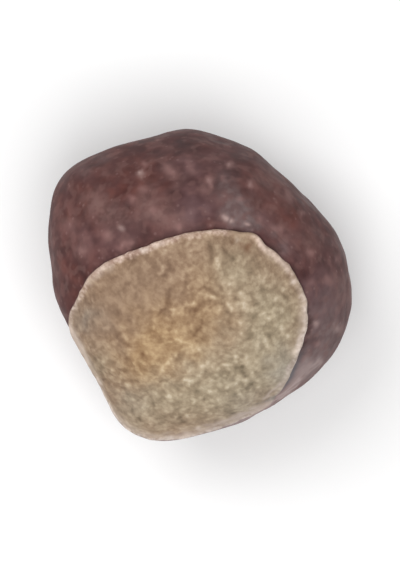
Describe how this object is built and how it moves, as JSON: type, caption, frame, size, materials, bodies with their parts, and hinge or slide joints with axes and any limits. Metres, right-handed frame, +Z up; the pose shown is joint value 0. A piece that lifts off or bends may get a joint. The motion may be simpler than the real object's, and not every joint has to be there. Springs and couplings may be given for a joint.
{
  "type": "horse chestnut",
  "caption": "Dried horse chestnut seed: a dull red-brown ball, flattened on its sides, with a large pale tan scar in a raised rim.",
  "frame": {"origin": "on the surface that the seed rests on, under the middle of its box", "axes": "+Z up; the scar faces up and leans towards -Y, its straighter edge runs along X on the +Y side, and the seed's widest shoulder is towards -X and +Y"},
  "size_m": [0.0354, 0.0362, 0.0302],
  "materials": {
    "seed_coat": "dull dark red-brown skin with a grey-purple dusty bloom; the scar is matt pale tan, rough and finely mottled, with a light pinkish rim"
  },
  "bodies": {
    "root": {"nut": "seed_coat"}
  },
  "joints": []
}
